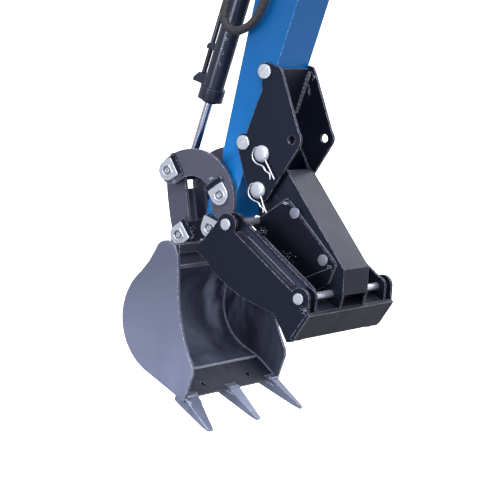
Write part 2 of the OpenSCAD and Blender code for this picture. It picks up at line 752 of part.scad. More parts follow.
module lock_pin() {
    color(zinc) at_tip() {
        round_bar(lock_at, thumb_pin_d / 2, -arm_side + move_gap, arm_side - move_gap);
        both_sides() round_bar(lock_at, end_r, bracket_out + seat_gap, bracket_out + seat_gap + end_t);
    }
}

// Hose from the cylinder's base port down in a loop and up the arm's left side
hose_d = 20;
hose_pts = [[221, 46, -196], [226, 51, -224], [234, 60, -260], [245, 73, -302], [256, 85, -344],
    [262, 91, -378], [260, 92, -401], [247, 92, -415], [226, 92, -420], [205, 92, -414],
    [184, 92, -401], [165, 92, -377], [151, 92, -346], [142, 92, -308], [133, 92, -266],
    [127, 92, -224], [127, 92, -190]];
hose_sides = 10;
// A closed tube swept along points, its rings square to the path
function ring(p, d, r) =
    let (u = d / norm(d), a = unit(cross(u, [0.3, 1, 0.2])), b = cross(u, a))
    [for (i = [0:hose_sides - 1]) p + r * (cos(360 * i / hose_sides) * a + sin(360 * i / hose_sides) * b)];
module tube(pts, r) {
    n = len(pts);
    dirs = [for (i = [0:n - 1]) pts[min(i + 1, n - 1)] - pts[max(i - 1, 0)]];
    rings = [for (i = [0:n - 1]) each ring(pts[i], dirs[i], r)];
    side = [for (i = [0:n - 2]) for (j = [0:hose_sides - 1])
        [i * hose_sides + j, i * hose_sides + (j + 1) % hose_sides,
         (i + 1) * hose_sides + (j + 1) % hose_sides, (i + 1) * hose_sides + j]];
    first = [for (j = [0:hose_sides - 1]) hose_sides - 1 - j];
    last = [for (j = [0:hose_sides - 1]) (n - 1) * hose_sides + j];
    polyhedron(rings, concat([first], side, [last]), convexity = 6);
}
module hose() { color(hose_black) tube(hose_pts, hose_d / 2); }
module hose_clamp() {
    // Bulkhead block on the arm's side with the hose's ferrule below it
    q = hose_pts[len(hose_pts) - 1];
    color(zinc) {
        translate([q[0], q[1], q[2] + seat_gap]) cylinder(d = hose_d + 5, h = 30, $fn = 32);
        translate([q[0] - 17, arm_side, q[2] + 30]) cube([34, q[1] - arm_side + 16, 26]);
    }
}
port_z = -88;
module base_port() {
    // Block on the barrel's left side, with the ferrule that the hose leaves
    p = hose_pts[0];
    d = unit(hose_pts[0] - hose_pts[1]);
    color(zinc) {
        on_cylinder() difference() {
            translate([-16, 0, port_z]) cube([32, 44, 34]);
            translate([0, 0, port_z - 1]) cylinder(d = barrel_d, h = 36, $fn = 64);
        }
        // The ferrule swings with the barrel, a little against the hose
        translate(p + swing_gap * d) rotate([0, acos(d[2]), atan2(d[1], d[0])])
            cylinder(d = hose_d + 4, h = 32, $fn = 32);
    }
}

arm_box();
boom_bush();
crowd_lugs();
cylinder_lugs();
cylinder_pin();
bracket_plate_left();
bracket_plate_right();
bracket_cross_plate();
bracket_pins();
thumb_pivot_pin();
hose_clamp();
base_port();
barrel();
gland();
base_eye();
port_block();
steel_pipe();
rod();
rod_eye();
rocker_plate_left();
rocker_plate_right();
rocker_pin();
rod_pin();
rocker_retainers();
bucket_link();
bucket_shell();
bucket_side_left();
bucket_side_right();
bucket_top_bar();
bucket_lip();
tooth_left();
tooth_middle();
tooth_right();
bucket_ear_left();
bucket_ear_right();
bucket_pin();
link_pin();
bucket_retainers();
thumb_channel();
thumb_gussets();
grip_plate();
tine_left();
tine_right();
tip_plate();
jaw_rods();
channel_bolts();
lock_pin();
hose();
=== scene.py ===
# %% [markdown]
# # A dipper arm with its bucket and clamp thumb
# This lesson dresses a mechanical model that already exists. The plates, pins and bores come from the
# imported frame. The script gives each of them its real finish, and adds the small things that a frame
# leaves out: spring clips, keeper bars, weld beads with their spatter, and the hose in its sleeve.

# %% Load the frame
import json

import bmesh
import bpy
import numpy as np
from mathutils import Matrix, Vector
from mathutils.bvhtree import BVHTree


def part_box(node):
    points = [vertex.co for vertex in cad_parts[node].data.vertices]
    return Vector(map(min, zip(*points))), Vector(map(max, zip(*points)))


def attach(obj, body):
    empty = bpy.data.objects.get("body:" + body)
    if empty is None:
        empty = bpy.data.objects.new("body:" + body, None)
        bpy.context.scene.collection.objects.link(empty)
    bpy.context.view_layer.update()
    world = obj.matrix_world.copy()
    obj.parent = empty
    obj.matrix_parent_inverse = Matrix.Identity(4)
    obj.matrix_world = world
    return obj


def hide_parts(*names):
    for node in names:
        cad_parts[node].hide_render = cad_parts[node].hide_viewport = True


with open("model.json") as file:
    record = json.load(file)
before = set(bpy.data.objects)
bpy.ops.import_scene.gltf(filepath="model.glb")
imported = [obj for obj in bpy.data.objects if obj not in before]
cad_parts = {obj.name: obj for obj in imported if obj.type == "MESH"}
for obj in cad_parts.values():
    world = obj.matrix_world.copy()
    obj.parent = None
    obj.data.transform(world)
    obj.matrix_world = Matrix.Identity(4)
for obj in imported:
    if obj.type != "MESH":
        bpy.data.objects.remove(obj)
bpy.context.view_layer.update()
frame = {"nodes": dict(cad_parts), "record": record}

# %% [markdown]
# ## The camera
# A long lens from five metres away keeps the plates almost parallel, as in a catalogue picture. The
# camera stands behind the arm and to its left, and looks a few degrees down. A camera's matrix has
# its right, its top and its back as columns, so three crossed directions are all that it needs.

# %% Camera
look_turn, look_down = np.radians(34.0), np.radians(4.63)
look_at = np.array([
    np.sin(look_turn) * np.cos(look_down),
    -np.cos(look_turn) * np.cos(look_down),
    -np.sin(look_down),
])


def aim(thing, place, forward):
    """Turns a camera or lamp: right = forward x up, top = right x forward, and its back is -forward."""
    forward = np.asarray(forward, float) / np.linalg.norm(forward)
    right = np.cross(forward, [0, 0, 1.0])
    right /= np.linalg.norm(right)
    columns = [right, np.cross(right, forward), -forward, np.asarray(place, float)]
    thing.matrix_world = Matrix(np.vstack([np.stack(columns, axis=1), [0, 0, 0, 1]]).tolist())


camera_place = (-2.4870, 4.1046, -0.5107)
camera_data = bpy.data.cameras.new("long_lens")
camera_data.sensor_width = 36.0
camera_data.lens = 157.1
camera_data.clip_end = 60.0
camera = bpy.data.objects.new("long_lens", camera_data)
bpy.context.scene.collection.objects.link(camera)
aim(camera, camera_place, look_at)
bpy.context.scene.camera = camera
print("camera looks along", look_at.round(3))

# %% [markdown]
# ## Colour and shader helpers
# Paint charts give colours as sRGB hex values, while a shader works with linear light. One function
# turns the first into the second. A second one adds a shader node, sets its sockets and joins it up.

# %% Colour and node helpers
def linear(hex_code):
    """sRGB to linear light: c / 12.92 below 0.04045, and ((c + 0.055) / 1.055) ** 2.4 above it."""
    c = np.array([int(hex_code[i:i + 2], 16) for i in (1, 3, 5)]) / 255.0
    low, high = c / 12.92, ((c + 0.055) / 1.055) ** 2.4
    return (*np.where(c <= 0.04045, low, high).tolist(), 1.0)


def add(tree, kind, settings=None, links=None):
    """Adds a node. settings are attributes or input sockets, and links are socket: (node, output)."""
    node = tree.nodes.new("ShaderNode" + kind)
    for key, value in (settings or {}).items():
        if isinstance(key, str) and hasattr(node, key):
            setattr(node, key, value)
        else:
            node.inputs[key].default_value = value
    for key, (source, output) in (links or {}).items():
        tree.links.new(source.outputs[output], node.inputs[key])
    return node


def new_material(name, **sockets):
    """An empty material: returns it, its node tree and its Principled shader with its sockets set."""
    material = bpy.data.materials.new(name)
    material.use_nodes = True
    shader = material.node_tree.nodes["Principled BSDF"]
    for socket, value in sockets.items():
        shader.inputs[socket.replace("_", " ")].default_value = value
    return material, material.node_tree, shader


print("a mid grey in linear light:", round(linear("#808080")[0], 3))

# %% [markdown]
# ## Sprayed and bare plate
# Every plate here was cut, welded and then sprayed, powder coated or left bare. The eye reads four
# things on such a surface: a slow change of tone, a fine skin that is not quite flat, worn edges
# that catch the light, and the dust that settles on faces that look up. Here the light on the worn
# edges is a painted highlight, and the hollows get painted shade. Painting each material by hand in
# the node editor would repeat all this fourteen times. Here one function makes all four from small
# layers, with sizes in millimetres, so that each finish differs only in its numbers.
#
# A real cut plate never has a razor edge. The Bevel node bends the normal near each edge, which
# rounds it in the light without touching the mesh, and the same bent normal tells where an edge is.

# %% Edges
def edge_mask(tree, radius_mm):
    """Near an edge a rounded normal leaves the true one: 1 - dot(rounded, true), from 0 up to 1."""
    rounded = add(tree, "Bevel", {"samples": 6, "Radius": radius_mm / 1000})
    true = add(tree, "NewGeometry")
    dot = add(tree, "VectorMath", {"operation": "DOT_PRODUCT"}, {0: (rounded, 0), 1: (true, "Normal")})
    mask = add(tree, "MapRange", {"From Min": 0.995, "From Max": 0.86}, {"Value": (dot, "Value")})
    return rounded, mask

# %% [markdown]
# Each further tone is a layer: two masks, which are multiplied, and a colour. The tone then shows
# only where both masks are bright, such as near an edge and also where a fine noise has broken the
# paint. One smooth mask alone would look airbrushed.

# %% Layers of a finish
chip_mm, dust_grey = 6.0, "#8f8b86"


def smeared_noise(tree, place):
    """Noise on stretched coordinates (22 x, 16 y, 7 z), so that its clouds run downwards in streaks."""
    smear = add(tree, "Mapping", {"Scale": (22.0, 16.0, 7.0)}, {"Vector": (place, "Object")})
    return add(tree, "TexNoise", {"Scale": 1.0, "Detail": 5.0, "Distortion": 0.6}, {"Vector": (smear, 0)})


def lighter_below_layer(tree, place, slow, tone, high, low):
    """A tone that grows downwards: 0.9 (high - z) / (high - low) in metres, times the slow noise."""
    height = add(tree, "SeparateXYZ", {}, {0: (place, "Object")})
    lower = add(tree, "MapRange", {"From Min": high, "From Max": low, "To Max": 0.9},
                {"Value": (height, "Z")})
    return lower, slow, tone


def painted_hollow_shade_layer(tree, place, tone, reach_mm):
    """Painted shade where little air reaches: (0.97 - open) / 0.57, times 1 to 0.3 from the smeared noise."""
    open_air = add(tree, "AmbientOcclusion", {"samples": 6, "Distance": reach_mm / 1000})
    depth = add(tree, "MapRange", {"From Min": 0.97, "From Max": 0.4, "To Max": 1.0},
                {"Value": (open_air, "AO")})
    shade_patches = add(tree, "MapRange", {"From Min": 0.32, "From Max": 0.72, "To Min": 1.0, "To Max": 0.3},
                    {"Value": (smeared_noise(tree, place), 0)})
    return depth, shade_patches, tone


def painted_sheen_layer(tree, place, tone, spot, reach):
    """A painted sheen in streaks round a spot: (reach - distance) / (0.7 reach), times the bright part of the
    smeared noise.
    """
    far = add(tree, "VectorMath", {"operation": "DISTANCE", 1: spot}, {0: (place, "Object")})
    near = add(tree, "MapRange", {"From Min": reach, "From Max": reach * 0.3}, {"Value": (far, "Value")})
    streaks = add(tree, "MapRange", {"From Min": 0.44, "From Max": 0.62},
                  {"Value": (smeared_noise(tree, place), 0)})
    return near, streaks, tone


def chipped_edge_and_highlight_layer(tree, place, at_edge, tone, edge_strength):
    """Paint broken off along an edge, with a painted highlight: (fine noise - 0.38) / 0.22 times the
    strength, times the edge mask.
    """
    chips = add(tree, "TexNoise", {"Scale": 1000 / chip_mm, "Detail": 4.0}, {"Vector": (place, "Object")})
    broken = add(tree, "MapRange", {"From Min": 0.38, "From Max": 0.6, "To Max": edge_strength}, {"Value": (chips, 0)})
    return at_edge, broken, tone


def dust_layer(tree, slow, amount):
    """Dust on faces that look up: (the normal's z - 0.3) / 0.7 times the amount, times the slow noise."""
    true = add(tree, "NewGeometry")
    up = add(tree, "SeparateXYZ", {}, {0: (true, "Normal")})
    faces_up = add(tree, "MapRange", {"From Min": 0.3, "From Max": 1.0, "To Max": amount},
                   {"Value": (up, "Z")})
    return faces_up, slow, dust_grey

# %% Plate finish
def plate_finish(name, base, shade, rough, skin_mm, skin_mm_deep, edge=None, edge_wear_and_highlight=0.8,
                 round_mm=1.2, patch_mm=60.0, spread=0.06, dust=0.0, painted_hollow_shade=None, hollow_shade_reach_mm=160.0,
                 lighter_below=None, painted_sheen=None, **sockets):
    """Two tones mixed by slow noise, a fine skin as bump, worn edges with a painted highlight, dust on top
    and painted shade in hollows.

    The lighter tone below is (colour, high, low) and the painted sheen is (colour, spot, reach), with heights
    and places in metres.
    A layer is (mask, mask, colour), and its strength is the product of its masks.
    """
    material, tree, shader = new_material(name, **sockets)
    place = add(tree, "TexCoord")
    slow = add(tree, "TexNoise", {"Scale": 1000 / patch_mm, "Detail": 6.0, "Roughness": 0.62},
               {"Vector": (place, "Object")})
    rounded, at_edge = edge_mask(tree, round_mm)
    layers = []
    if lighter_below:
        layers.append(lighter_below_layer(tree, place, slow, *lighter_below))
    if painted_hollow_shade:
        layers.append(painted_hollow_shade_layer(tree, place, painted_hollow_shade, hollow_shade_reach_mm))
    if painted_sheen:
        layers.append(painted_sheen_layer(tree, place, *painted_sheen))
    if edge:
        layers.append(chipped_edge_and_highlight_layer(tree, place, at_edge, edge, edge_wear_and_highlight))
    if dust:
        layers.append(dust_layer(tree, slow, dust))
    colour = add(tree, "Mix", {"data_type": "RGBA", 6: linear(base), 7: linear(shade)}, {0: (slow, 0)})
    for first, second, tone in layers:
        strength = add(tree, "Math", {"operation": "MULTIPLY"}, {0: (first, 0), 1: (second, 0)})
        colour = add(tree, "Mix", {"data_type": "RGBA", 7: linear(tone)},
                     {0: (strength, 0), 6: (colour, 2)})
    tree.links.new(colour.outputs[2], shader.inputs["Base Color"])
    gloss = add(tree, "MapRange",
                {"From Min": 0.3, "From Max": 0.7, "To Min": rough - spread, "To Max": rough + spread},
                {"Value": (slow, 0)})
    tree.links.new(gloss.outputs[0], shader.inputs["Roughness"])
    skin = add(tree, "TexNoise", {"Scale": 1000 / skin_mm, "Detail": 3.0}, {"Vector": (place, "Object")})
    bump = add(tree, "Bump", {"Strength": 1.0, "Distance": skin_mm_deep / 1000},
               {"Height": (skin, 0), "Normal": (rounded, 0)})
    tree.links.new(bump.outputs[0], shader.inputs["Normal"])
    return material

# %% [markdown]
# ## The finishes
# The arm has a gloss enamel with a slight orange peel, about four millimetres from crest to crest.
# The thumb and its bracket are powder coated in black, which dries with a fine, even grain. The
# rocker and the link are cast and forged pieces under thin paint, so their skin is coarser.

# %% Painted finishes
# Enamel sprayed on steel plate: a gloss with orange peel. Its blue grows lighter towards the arm's tip, a
# painted light that lifts the shade there.
blue_enamel = plate_finish(
    "gloss_enamel_on_steel_plate", "#04568f", "#044d88", 0.34, 4.0, 0.02, edge="#8ec6f6", edge_wear_and_highlight=0.9,
    round_mm=2.6, patch_mm=120.0, lighter_below=("#1583d8", -0.38, -0.86), Specular_IOR_Level=0.2,
    Coat_Weight=0.06, Coat_Roughness=0.1)
# Powder that melted on the plate: an even satin black that mirrors the cool air faintly.
cool_sheen = linear("#b9c5fb")
black_powder = plate_finish(
    "black_powder_coat", "#171a24", "#090b12", 0.36, 1.8, 0.04, edge="#b3b8c8", edge_wear_and_highlight=1.0,
    round_mm=1.8, patch_mm=90.0, dust=0.06, Specular_IOR_Level=0.27, Specular_Tint=cool_sheen)
# The same powder, deeper and a little duller, as painted shade on plates that other plates shelter.
shaded_black_powder = plate_finish(
    "black_powder_coat_painted_shade", "#0a0c12", "#07090e", 0.40, 1.8, 0.04, edge="#8d92a2", edge_wear_and_highlight=1.0,
    round_mm=1.8, Specular_IOR_Level=0.25, Specular_Tint=cool_sheen)
# Thin paint on forged links: the coarse skin of the steel still shows through it.
link_paint = plate_finish(
    "thin_paint_on_forged_links", "#494a5c", "#3e3f50", 0.42, 3.0, 0.06, edge="#c5c8d4", edge_wear_and_highlight=1.0,
    round_mm=1.8, patch_mm=35.0, Specular_IOR_Level=0.35)
# Hard gloss paint on a drawn tube: it gives the barrel its long bright streaks.
cylinder_paint = plate_finish(
    "gloss_black_cylinder_paint", "#2a2c39", "#1c1e29", 0.22, 4.0, 0.02, edge="#8d91a0", patch_mm=40.0,
    Specular_IOR_Level=0.42, Specular_Tint=linear("#d5dcff"), Coat_Weight=0.1, Coat_Roughness=0.08)
print("painted finishes: 5")

# %% [markdown]
# The bucket is hot-rolled plate. Its mill scale is blue-grey and cloudy, its ground edges are brighter
# with a painted highlight, and painted shade darkens its hollow. The pins are zinc plated, which looks
# pale and slightly milky, and the cylinder's rod has ground hard chrome, the only true mirror here.

# %% Bare metal finishes
# Hot-rolled plate with its mill scale: cloudy and half matt, lighter towards the bottom, with painted shade
# in its hollows and a painted sheen in streaks inside the shell.
mill_scale = plate_finish(
    "hot_rolled_plate_with_mill_scale", "#6b6f86", "#454859", 0.42, 3.0, 0.05, edge="#e8eaf0",
    edge_wear_and_highlight=1.0, round_mm=2.2, patch_mm=210.0, spread=0.07, painted_hollow_shade="#363a4b", hollow_shade_reach_mm=420.0,
    painted_sheen=("#9ca1ba", (0.455, -0.15, -1.06), 0.12), lighter_below=("#9ba1bf", -0.95, -1.22),
    Metallic=0.25, Specular_IOR_Level=0.3)
# A darker and matter copy of the same plate, with painted shade in its hollows and a painted highlight on its
# edges.
dark_scale = plate_finish(
    "hot_rolled_plate_darker", "#3f4253", "#2b2d3a", 0.48, 3.0, 0.08, edge="#d9dce6",
    round_mm=2.0, patch_mm=50.0, spread=0.1, painted_hollow_shade="#12141c", Metallic=0.2, Specular_IOR_Level=0.25)
# Hard steel that the ground scours: paler than the plate, and nearly white along its edges, partly worn
# bright and partly a painted highlight.
cut_steel = plate_finish(
    "ground_cutting_steel", "#9aa1bf", "#54596d", 0.36, 3.0, 0.05, edge="#f4f5f8", edge_wear_and_highlight=1.0,
    round_mm=2.2, spread=0.07, painted_hollow_shade="#2b2e3b", hollow_shade_reach_mm=60.0, Metallic=0.4)
# Zinc plating on pins is pale and milky, with painted shade where other parts come within seven millimetres.
# On the small bolt heads it has gone dull and darker.
zinc_plate = plate_finish(
    "bright_zinc_plate", "#d3d7e0", "#b7bcc9", 0.27, 3.0, 0.0025, round_mm=1.4, patch_mm=24.0,
    spread=0.05, painted_hollow_shade="#3b3f4e", hollow_shade_reach_mm=7.0, Metallic=0.8)
dull_zinc = plate_finish(
    "dull_zinc_bolt_heads", "#8b8fa0", "#6b6f80", 0.34, 2.0, 0.02, edge="#cdd0da", patch_mm=18.0,
    spread=0.08, Metallic=0.7)
# Weld metal is bumpy and catches small lights. It is scraped bare, thinly painted, or thrown off as drops.
# The scraped bead is lighter than bare weld metal: it is scraped bright, and the rest of its brightness is a
# painted highlight for beads in shaded corners.
scraped_bead_painted_light = plate_finish(
    "scraped_weld_bead_painted_light", "#a9aebf", "#7e8395", 0.30, 1.5, 0.08, edge="#eef0f5", patch_mm=12.0,
    spread=0.1, Metallic=0.3)
weld_metal = plate_finish(
    "painted_weld_bead", "#5a5d6c", "#2f313c", 0.22, 1.5, 0.08, edge="#dfe1e8", round_mm=1.1,
    patch_mm=9.0, spread=0.1, Metallic=0.5)
spatter_metal = plate_finish(
    "bright_weld_spatter", "#d8dbe4", "#aeb2c0", 0.30, 1.0, 0.02, round_mm=0.4, patch_mm=5.0,
    Metallic=0.9)
# Chrome that was plated and then ground: the only surface here that mirrors the room sharply.
hard_chrome = plate_finish(
    "ground_hard_chrome", "#b2b8ca", "#aab0c2", 0.16, 8.0, 0.0003, round_mm=0.5, spread=0.02,
    Metallic=1.0)

finishes = {
    "arm_blue": blue_enamel, "paint_black": black_powder, "link_grey": link_paint,
    "cylinder_black": cylinder_paint, "bucket_steel": mill_scale, "cutting_steel": cut_steel,
    "zinc_pin": zinc_plate, "rod_chrome": hard_chrome,
}
own_finish = {
    "channel_bolts": dull_zinc, "thumb_gussets": shaded_black_powder, "grip_plate": shaded_black_powder,
    "bucket_ear_left": shaded_black_powder, "bucket_ear_right": shaded_black_powder,
    "bucket_top_bar": dark_scale, "bucket_lip": dark_scale,
}
print("finishes for slots:", len(finishes), "nodes with a finish of their own:", len(own_finish))

# %% [markdown]
# ## Smooth rounds
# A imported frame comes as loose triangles, so a turned pin would show its facets. Each node is copied,
# its doubled points are merged, and edges that turn by less than 32 degrees are shaded as one round
# surface. A weighted normal keeps the flat faces flat, because big faces then rule over small ones.
# The copy replaces its node in the picture, and the node stays in the frame as it was.

# %% Smooth copies of the frame's nodes
skipped = {"hose", "rod", "rocker_retainers", "bucket_retainers", "thumb_pivot_pin", "lock_pin"}
slot_of = {part["node"]: part["material_slot"] for part in frame["record"]["subparts"]}
body_of = {node: body for body, nodes in frame["record"]["behaviour"]["bodies"].items() for node in nodes}
crease_angle, same_point = np.radians(32.0), 2e-6


def inner_wall(edge):
    """Where three faces share an edge two lie in one plane. The third has the least sum of |n . m|."""
    faces = edge.link_faces
    return min(faces, key=lambda face: sum(abs(face.normal.dot(other.normal)) for other in faces))


def smooth_copy(node):
    """A merged copy of a node in its finish, smooth where an edge turns by less than the crease angle."""
    mesh = frame["nodes"][node].data.copy()
    shape = bmesh.new()
    shape.from_mesh(mesh)
    bmesh.ops.remove_doubles(shape, verts=shape.verts, dist=same_point)
    shape.normal_update()
    walls = {inner_wall(edge) for edge in shape.edges if len(edge.link_faces) == 3}
    bmesh.ops.delete(shape, geom=list(walls), context="FACES_ONLY")
    shape.to_mesh(mesh)
    shape.free()
    mesh.shade_smooth()
    mesh.set_sharp_from_angle(angle=crease_angle)
    mesh.materials.clear()
    mesh.materials.append(own_finish.get(node, finishes[slot_of[node]]))
    copy = bpy.data.objects.new(node + "_finished", mesh)
    copy.matrix_world = frame["nodes"][node].matrix_world
    bpy.context.scene.collection.objects.link(copy)
    weighted = copy.modifiers.new("flat_faces_rule", "WEIGHTED_NORMAL")
    weighted.keep_sharp = True
    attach(copy, body_of[node])
    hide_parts(node)
    return copy


copies = [smooth_copy(node) for node in slot_of if node not in skipped]
print("smooth copies:", len(copies))

# %% [markdown]
# ## Places from the frame
# Small pieces sit on pins and plates, so their places come from the frame: the joints give the pins'
# axes, and the corners of a node's box give the faces.

# %% Places
pivot = {joint["name"]: np.array(joint["pos_m"]) for joint in frame["record"]["behaviour"]["joints"]}


def corners(node):
    """A node's lowest and highest corner at rest, as two arrays."""
    low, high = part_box(node)
    return np.array(low), np.array(high)


def middle(node):
    """Half the sum of a node's two corners."""
    return sum(corners(node)) / 2


bucket_pin, rocker_pin, rod_pin = pivot["bucket_curl"], pivot["rocker_swing"], pivot["link_swing"]
link_pin, thumb_pin, lock_pin = middle("link_pin"), pivot["thumb_fold"], middle("lock_pin")
rocker_face = corners("rocker_plate_left")[1][1]
ear_face = corners("bucket_ear_left")[1][1]
print("rocker's outer face at", round(rocker_face * 1000, 1), "mm")

# %% [markdown]
# ## Tubes, beads and wires
# A weld bead, a bent wire, a turned pin and a hose are all one form: a round section that runs along
# a path. A curve object with a round bevel makes one too. Here it is an array of rings that lie
# square to the path, because each ring's radius then comes straight from a formula, which gives a
# bead its ripples, a pin its domed head and a sleeve its ruffles.

# %% Sweep helpers
def length_so_far(path):
    """The sum of the distances between neighbours, up to each point of a path."""
    return np.concatenate([[0], np.cumsum(np.linalg.norm(np.diff(path, axis=0), axis=1))])


def smooth_path(knots, step, per_span=24):
    """A cubic curve through the knots, resampled at equal steps of its length.

    From knot b to c, with a before and d after them, it is half of
    2b + (c - a) t + (2a - 5b + 4c - d) t^2 + (3b - a - 3c + d) t^3.
    """
    k = np.asarray(knots, float)
    p = np.vstack([2 * k[0] - k[1], k, 2 * k[-1] - k[-2]])
    t = np.linspace(0, 1, per_span, endpoint=False)[None, :, None]
    a, b, c, d = (v[:, None, :] for v in (p[:-3], p[1:-2], p[2:-1], p[3:]))
    curve = 0.5 * (2 * b + (c - a) * t + (2 * a - 5 * b + 4 * c - d) * t ** 2
                   + (3 * b - a - 3 * c + d) * t ** 3)
    curve = np.vstack([curve.reshape(-1, 3), k[-1]])
    run = length_so_far(curve)
    at = np.linspace(0, run[-1], max(int(run[-1] / step), 2) + 1)
    return np.stack([np.interp(at, run, curve[:, i]) for i in range(3)], axis=1)


def ring_faces(rings, sides, turned=False):
    """Quads (i, j), (i, j + 1), (i + 1, j + 1), (i + 1, j) between rings, and a disc at each end.

    turned reverses every face, for rings whose points run the other way round.
    """
    i, j = np.meshgrid(np.arange(rings - 1), np.arange(sides), indexing="ij")
    beside = (j + 1) % sides
    quads = np.stack([i * sides + j, i * sides + beside, (i + 1) * sides + beside, (i + 1) * sides + j],
                     axis=-1)
    first, last = list(range(sides)), list(range((rings - 1) * sides, rings * sides))
    if turned:
        return quads[..., [0, 3, 2, 1]].reshape(-1, 4).tolist() + [first, last[::-1]]
    return quads.reshape(-1, 4).tolist() + [first[::-1], last]


def tube(path, radius, sides=12, hint=(0.3, 1.0, 0.2)):
    """Rings square to the path: p + r (cos u) n + r (sin u) b, closed by a disc at each end."""
    path = np.asarray(path, float)
    along = np.gradient(path, axis=0)
    along /= np.linalg.norm(along, axis=1, keepdims=True)
    n = np.cross(along, np.asarray(hint, float))
    n /= np.linalg.norm(n, axis=1, keepdims=True)
    b = np.cross(along, n)
    u = np.linspace(0, 2 * np.pi, sides, endpoint=False)
    r = np.broadcast_to(np.asarray(radius, float), len(path))[:, None, None]
    circle = np.cos(u)[None, :, None] * n[:, None] + np.sin(u)[None, :, None] * b[:, None]
    return (path[:, None] + r * circle).reshape(-1, 3), ring_faces(len(path), sides)


def joined(shapes):
    """Several shapes as one: each one's faces count on from the points before it."""
    points, faces, count = [], [], 0
    for shape in shapes:
        points.append(shape[0])
        faces += [[index + count for index in face] for face in shape[1]]
        count += len(shape[0])
    return np.vstack(points), faces


def mirrored(shape):
    """The same shape on the other side, y to -y, with its faces turned so that they still look outwards."""
    return shape[0] * [1, -1, 1], [face[::-1] for face in shape[1]]


def new_piece(name, shape, body, material, uv=None, smooth=True):
    """Puts a shape's points and faces into one mesh, and lets the piece ride on a body."""
    points, faces = shape
    mesh = bpy.data.meshes.new(name)
    mesh.from_pydata(np.asarray(points).tolist(), [], [list(face) for face in faces])
    if uv is not None:
        layer = mesh.uv_layers.new(name="along")
        corner = np.empty(len(mesh.loops), dtype=np.int32)
        mesh.loops.foreach_get("vertex_index", corner)
        layer.data.foreach_set("uv", np.asarray(uv, dtype=np.float32)[corner].ravel())
    mesh.polygons.foreach_set("use_smooth", np.full(len(mesh.polygons), smooth))
    mesh.materials.append(material)
    mesh.update()
    piece = bpy.data.objects.new(name, mesh)
    bpy.context.scene.collection.objects.link(piece)
    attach(piece, body)
    return piece

# %% [markdown]
# ## The chromed rod
# A mirror shows every fault of its mesh, so the rod isn't a copy of the frame's triangles. It is one
# straight sweep of a circle with many short rings, from inside the gland to inside the eye.

# %% Chromed rod
rod_low, rod_high = corners("rod")
rod_thick, into_eye, short_of_end, under_skin = 0.020, 0.018, 0.012, 0.0001
rod_run = rod_pin - pivot["cylinder_swing"]
rod_run /= np.linalg.norm(rod_run)
rod_span = (rod_high[2] - rod_low[2] - rod_thick * abs(rod_run[0])) / abs(rod_run[2])
rod_radius = (rod_high[1] - rod_low[1]) / 2
along_rod = np.linspace(0, 1, 60)[:, None]
rod_path = rod_pin - rod_run * (into_eye + along_rod * (rod_span - short_of_end))
chromed = new_piece("chromed_rod", tube(rod_path, rod_radius - under_skin, 48), "cylinder_rod",
                    hard_chrome)
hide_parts("rod")
print("rod", round(rod_span * 1000), "mm long, radius", round(rod_radius * 1000, 1), "mm")

# %% [markdown]
# ## The thumb's two cotter pins
# The pins that the owner pulls to move or take off the thumb are turned on a lathe, with
# wide domed heads. A profile of distance and radius, spun round the pin's axis, gives that
# form with a true crease where the head meets its collar. Flat discs would catch no highlight.

# %% Cotter pins
head_profile = [(85.0, 11.5), (84.7, 13.8), (83.9, 16.2), (82.7, 18.3), (81.3, 19.5), (80.0, 20.0),
                (77.0, 20.0), (75.4, 19.4), (75.35, 10.0)]
hair = 2e-6


def turned(pin, profile):
    """The profile of (y, radius) in mm and then its mirror image, spun about the pin's axis.

    Each ring lies a hair further on than it would, so that no two of them share a y.
    """
    whole = profile + [(-place, r) for place, r in profile[::-1]]
    y = np.array([place for place, _ in whole]) / 1000 - np.arange(len(whole)) * hair
    radius = np.array([r for _, r in whole]) / 1000
    path = np.column_stack([np.full(len(y), pin[0]), y, np.full(len(y), pin[2])])
    return tube(path, radius, 72, hint=(1, 0, 0))


for node, pin, body in (("thumb_pivot_pin", thumb_pin, "dipper"), ("lock_pin", lock_pin, "thumb")):
    piece = new_piece(node + "_turned", turned(pin, head_profile), body, zinc_plate)
    piece.data.set_sharp_from_angle(angle=crease_angle)
    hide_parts(node)
    print(node, "heads", round(corners(node)[1][1] * 1000, 1), "mm out")

# %% [markdown]
# ## Pin retainers
# A retainer is a thick zinc-plated washer, round on one side and straight on the other. A bolt in
# its recess holds the pin, and a black keeper bar lies against the straight side and stops it from
# turning. Such parts could be cut out of solid blocks. Here they are rings stacked on one another:
# each ring is the outline moved in a little, or a circle, so chamfers and the recess come for free.

# %% Stacked rings
def side_view(centre, angle, u, v):
    """Points u along an angle from a centre and v across it, as x and z. The angle turns from +X to +Z."""
    a = np.radians(angle)
    return centre[0] + u * np.cos(a) - v * np.sin(a), centre[2] + u * np.sin(a) + v * np.cos(a)


def stacked_rings(centre, angle, outline, rings):
    """rings are (kind, size, y): "in" moves the outline inwards by a size, and "round" is a circle."""
    outline = np.asarray(outline, float)
    reach = np.linalg.norm(outline, axis=1, keepdims=True)
    points = []
    for kind, size, y in rings:
        ring = outline * (1 - size / reach) if kind == "in" else outline / reach * size
        x, z = side_view(centre, angle, ring[:, 0], ring[:, 1])
        points.append(np.column_stack([x, np.full(len(x), y), z]))
    return np.vstack(points), ring_faces(len(rings), len(outline), turned=True)


def arc_of(radius, start, stop, count):
    """Points (r cos a, r sin a), with the angle a in equal steps from start to stop in degrees."""
    a = np.radians(np.linspace(start, stop, count))
    return np.column_stack([radius * np.cos(a), radius * np.sin(a)])


def bar_outline(half_u, half_v, corner=0.0015):
    """A rectangle with small round corners, each a quarter circle of six points."""
    middles = [(1, 1, 0), (-1, 1, 90), (-1, -1, 180), (1, -1, 270)]
    return np.vstack([arc_of(corner, turn, turn + 90, 6) + [u * (half_u - corner), v * (half_v - corner)]
                      for u, v, turn in middles])


